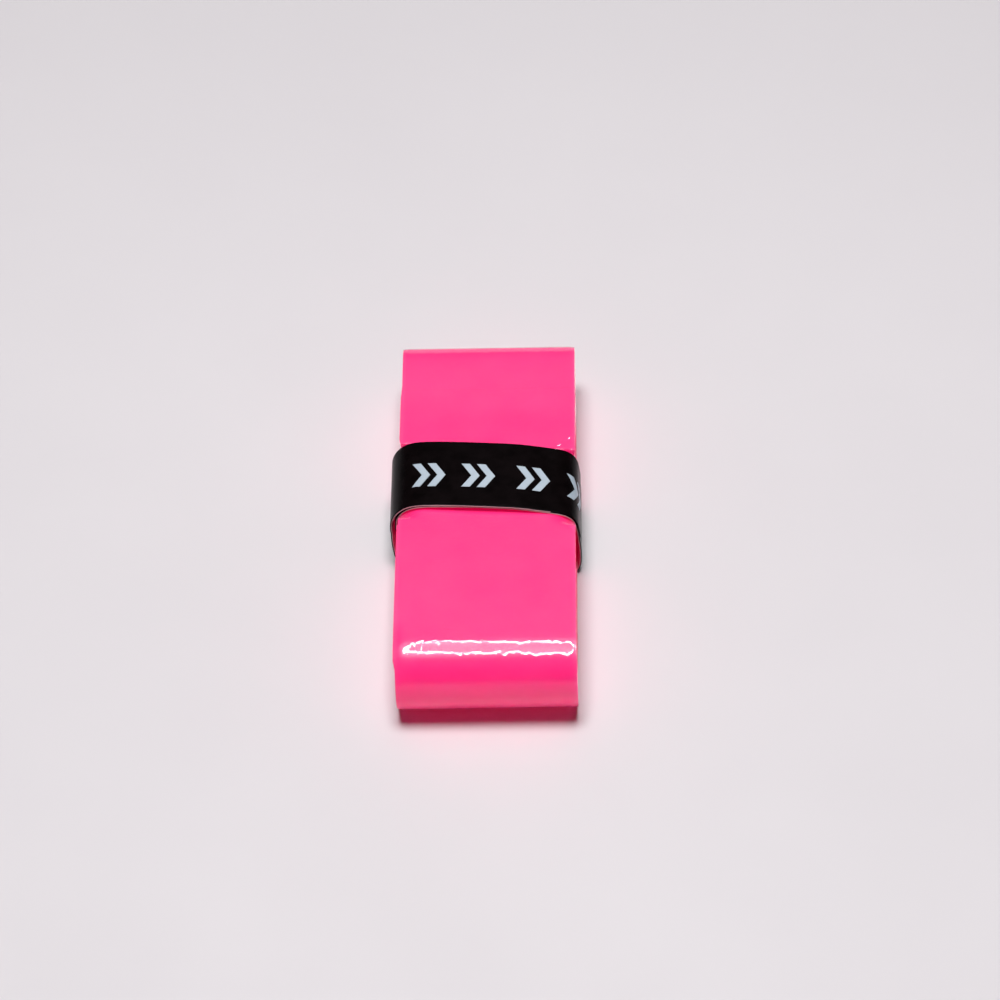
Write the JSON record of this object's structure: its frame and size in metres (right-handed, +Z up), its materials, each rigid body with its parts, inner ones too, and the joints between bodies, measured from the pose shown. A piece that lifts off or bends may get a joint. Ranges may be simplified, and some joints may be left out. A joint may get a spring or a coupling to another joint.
{
  "type": "grip tape roll",
  "caption": "Flat coreless roll of tacky racket overgrip with its clear protective film, held round the middle by a wrapped strip of black finishing tape.",
  "frame": {"origin": "on the floor, under the middle of the roll", "axes": "+X along the winding axis, across the tape; +Y the long way of the flat roll, towards the bend where the outer end stops; +Z up"},
  "size_m": [0.0278, 0.0672, 0.0131],
  "materials": {
    "coat": "tacky polyurethane, satin",
    "backing": "nonwoven felt",
    "film": "clear glossy film",
    "starter_adhesive": "double-sided tape",
    "starter_liner": "release paper",
    "band_vinyl": "satin black vinyl",
    "band_adhesive": "pressure-sensitive adhesive",
    "band_liner": "release paper",
    "print": "light printed ink"
  },
  "bodies": {
    "roll": {"tape_coat": "coat", "tape_backing": "backing", "protective_film": "film", "starter_adhesive": "starter_adhesive", "starter_liner": "starter_liner"},
    "tape_tail": {"tape_tail_coat": "coat", "tape_tail_backing": "backing", "film_tail": "film"},
    "film_peel": {"film_end": "film"},
    "band": {"band_vinyl": "band_vinyl", "band_adhesive": "band_adhesive", "band_liner": "band_liner", "band_print": "print"},
    "band_end": {"band_end_vinyl": "band_vinyl", "band_end_adhesive": "band_adhesive", "band_end_print": "print"}
  },
  "joints": [
    {"name": "band_slide", "type": "slide", "parent": "roll", "child": "band", "axis": [0, 1, 0], "range_m": [-0.045, 0]},
    {"name": "tail_lift", "type": "hinge", "parent": "roll", "child": "tape_tail", "pos_m": [0, 0.01583, 0.01186], "axis": [1, 0, 0], "range_deg": [0, 95]},
    {"name": "film_lift", "type": "hinge", "parent": "tape_tail", "child": "film_peel", "pos_m": [0, 0.02184, 0.01186], "axis": [1, 0, 0], "range_deg": [0, 55]},
    {"name": "band_end_peel", "type": "hinge", "parent": "band", "child": "band_end", "pos_m": [0.00969, 0.00254, 0.01293], "axis": [-0.0523, -0.9986, 0], "range_deg": [0, 80]}
  ]
}
